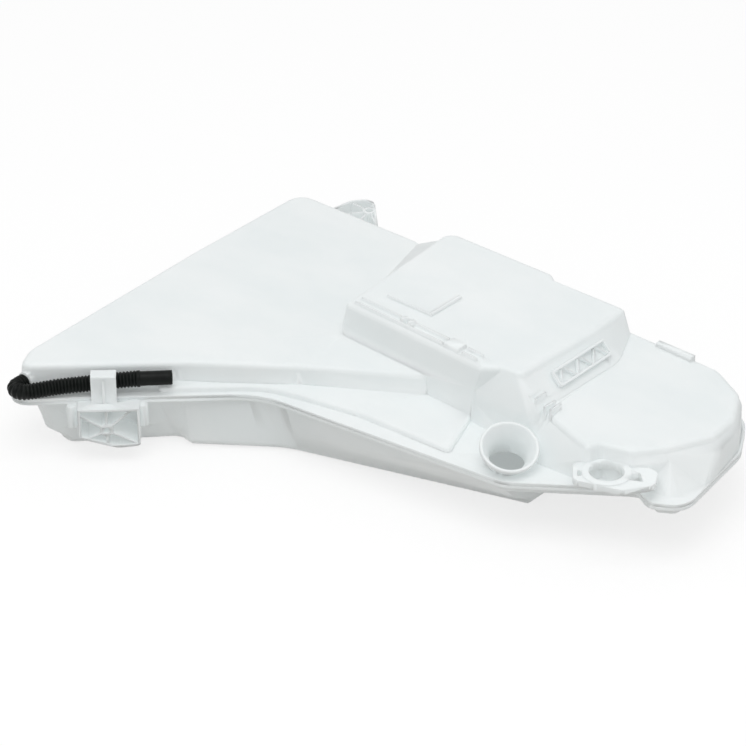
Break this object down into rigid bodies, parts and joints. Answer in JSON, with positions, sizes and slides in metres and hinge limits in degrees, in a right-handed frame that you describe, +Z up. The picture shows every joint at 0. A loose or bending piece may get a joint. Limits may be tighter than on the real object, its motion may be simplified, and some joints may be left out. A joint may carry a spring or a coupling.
{
  "type": "washer fluid reservoir",
  "caption": "Flat, stepped washer fluid tank of welded shells with a broad wing, a raised platform, an angled filler neck, a ring ear, a ribbed bracket and a corrugated vent hose.",
  "frame": {"origin": "on the flat underside of the deep tub, which the tank rests on, near the middle of its length", "axes": "+X along the tank's length from the broad wing to the pump end, +Y away from the filler neck, +Z up"},
  "size_m": [0.5412, 0.4223, 0.111],
  "materials": {
    "natural_polyethylene": "smooth moulded, slightly milky, satin",
    "black_polyamide": "satin"
  },
  "bodies": {
    "root": {"upper_shell": "natural_polyethylene", "lower_shell": "natural_polyethylene", "vent_hose": "black_polyamide"}
  },
  "joints": []
}
